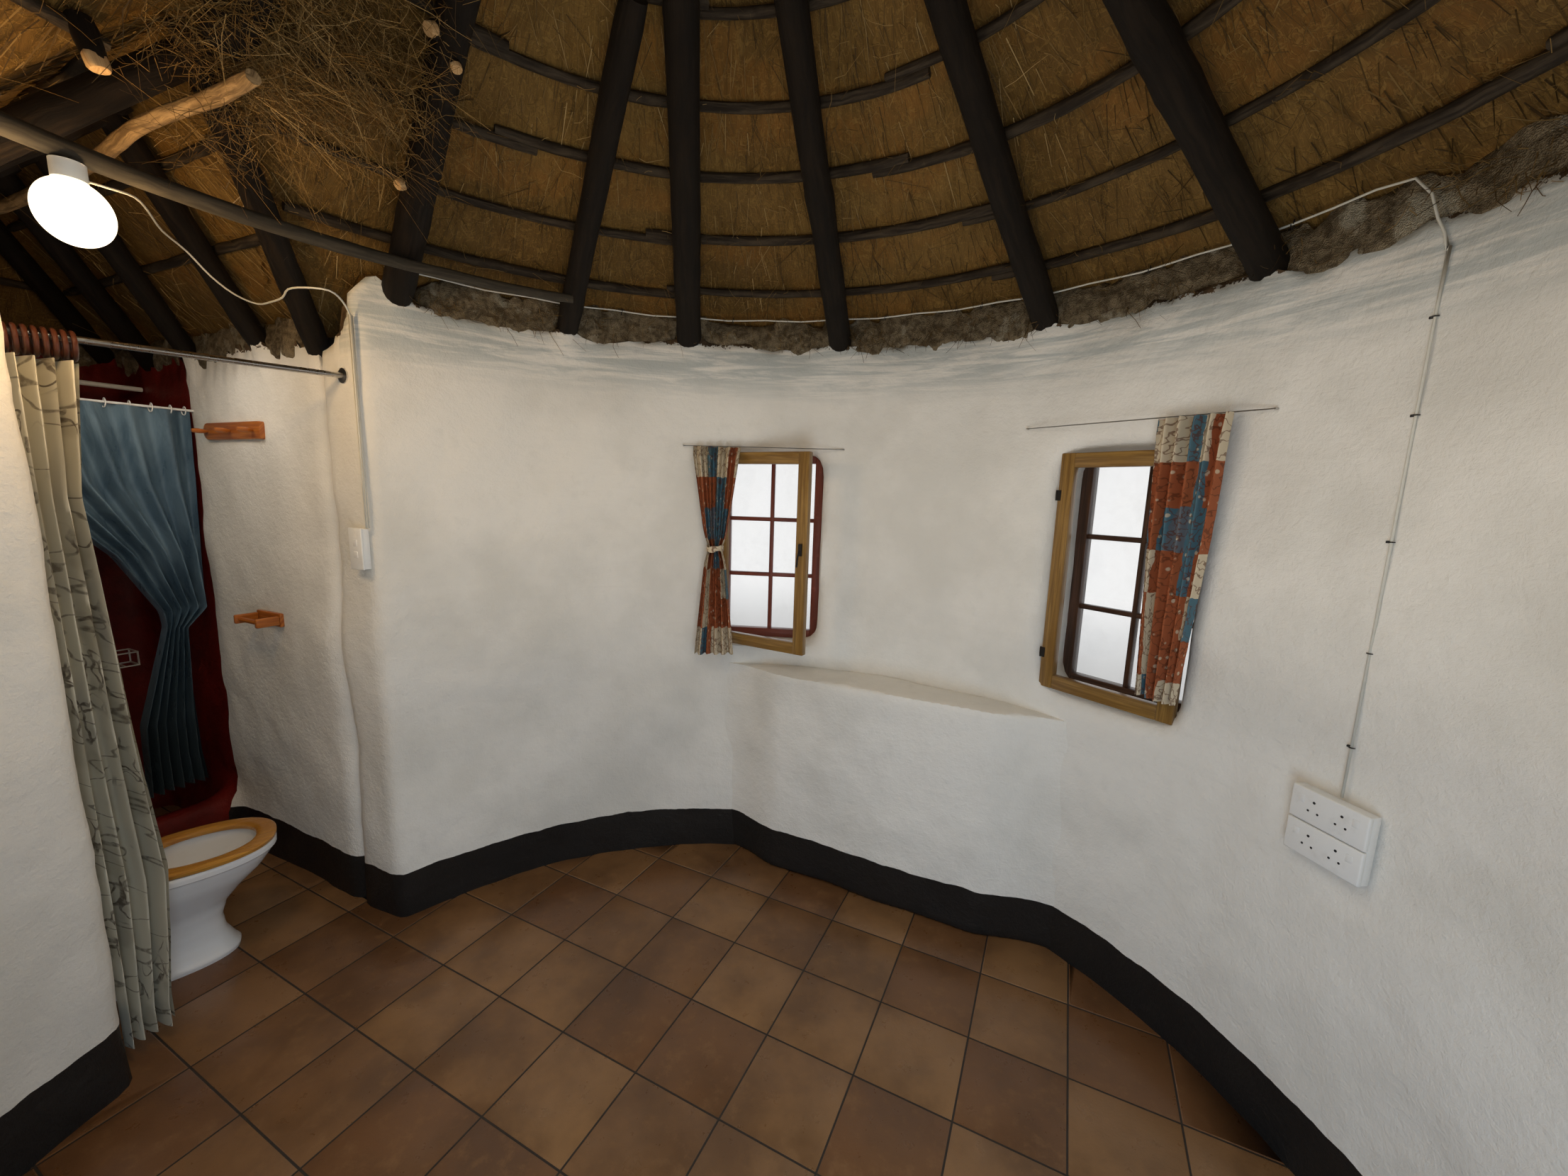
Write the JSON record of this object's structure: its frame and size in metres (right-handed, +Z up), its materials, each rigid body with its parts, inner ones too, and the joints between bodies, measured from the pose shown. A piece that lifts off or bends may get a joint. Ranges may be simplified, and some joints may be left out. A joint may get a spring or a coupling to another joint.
{
  "type": "rondavel hut",
  "caption": "Round thatched hut with plastered walls, pole roof, two deep windows, a wall ledge, and a thatched washroom wing open to the room.",
  "frame": {"origin": "centre of the round room, at ground level", "axes": "+Z up; -Y through the middle of the doorway, so the front faces -Y; the washroom wing points 24.7 degrees from -X towards +Y"},
  "size_m": [6.8064, 5.1454, 4.2498],
  "materials": {
    "limewash": "limewashed earth and cement plaster, lumpy and matt",
    "red_wall_paint": "cement plaster painted deep red inside the shower, limewashed outside",
    "floor_tiles": "terracotta tiles with dark joints, worn matt",
    "threshold_stone": "rough cement",
    "rough_mortar": "rough grey earth and cement filling",
    "red_brown_paint": "red-brown gloss paint, dulled",
    "dark_brown_wood": "dark brown stained hardwood",
    "varnished_wood": "yellow-brown varnished pine, satin",
    "clear_glass": "clear",
    "black_iron": "black, satin",
    "dark_pole": "bark-stained poles, nearly black, matt",
    "pale_pole": "peeled pole, weathered",
    "lath": "grey-brown laths, matt",
    "thatch": "dry grass, golden to brown",
    "cap_mortar": "weathered cement",
    "bright_steel": "bright",
    "printed_cotton": "light printed cotton, soft",
    "blue_sheet": "thin blue sheet",
    "wire": "stretched plastic-covered wire",
    "sanitary_white": "glazed",
    "white_plastic": "satin",
    "opal_glass": "opal"
  },
  "bodies": {
    "root": {"floor_slab": "floor_tiles", "threshold": "threshold_stone", "wall_back_left": "limewash", "wall_window_1": "limewash", "wall_back": "limewash", "wall_window_2": "limewash", "wall_right": "limewash", "wall_front_right": "limewash", "wall_over_door": "limewash", "wall_front_left": "limewash", "wall_left": "limewash", "window_ledge": "limewash", "wall_top_fill": "rough_mortar", "wing_wall_right": "limewash", "wing_wall_left": "limewash", "wing_wall_end": "red_wall_paint", "wing_top_fill": "rough_mortar", "window_sash_1": "red_brown_paint", "window_sash_2": "dark_brown_wood", "window_glass": "clear_glass", "window_leaf_1": "varnished_wood", "window_leaf_2": "varnished_wood", "door_frame": "dark_brown_wood", "door_leaf": "varnished_wood", "door_handle": "black_iron", "rafters_long": "dark_pole", "rafters_middle": "dark_pole", "rafters_short": "dark_pole", "apex_block": "dark_pole", "lath_rings": "lath", "header_pole": "dark_pole", "valley_poles": "dark_pole", "wing_ridge_pole": "pale_pole", "wing_rafters": "dark_pole", "wing_laths": "lath", "thatch_round": "thatch", "thatch_wing": "thatch", "apex_cap": "cap_mortar", "ridge_cap": "cap_mortar", "curtain_rail": "bright_steel", "curtain_rings": "dark_brown_wood", "washroom_curtain": "printed_cotton", "shower_kerb": "red_wall_paint", "shower_rail": "white_plastic", "shower_rack": "white_plastic", "shower_curtain": "blue_sheet", "window_curtain_1": "printed_cotton", "window_curtain_2": "printed_cotton", "curtain_wires": "wire", "toilet_pan": "sanitary_white", "toilet_seat": "varnished_wood", "toilet_cistern": "sanitary_white", "lamp_holder": "white_plastic", "lamp_globe": "opal_glass", "switch_box": "white_plastic", "socket_box": "white_plastic", "wall_cable": "white_plastic", "towel_rail": "varnished_wood", "roll_holder": "varnished_wood"}
  },
  "joints": []
}
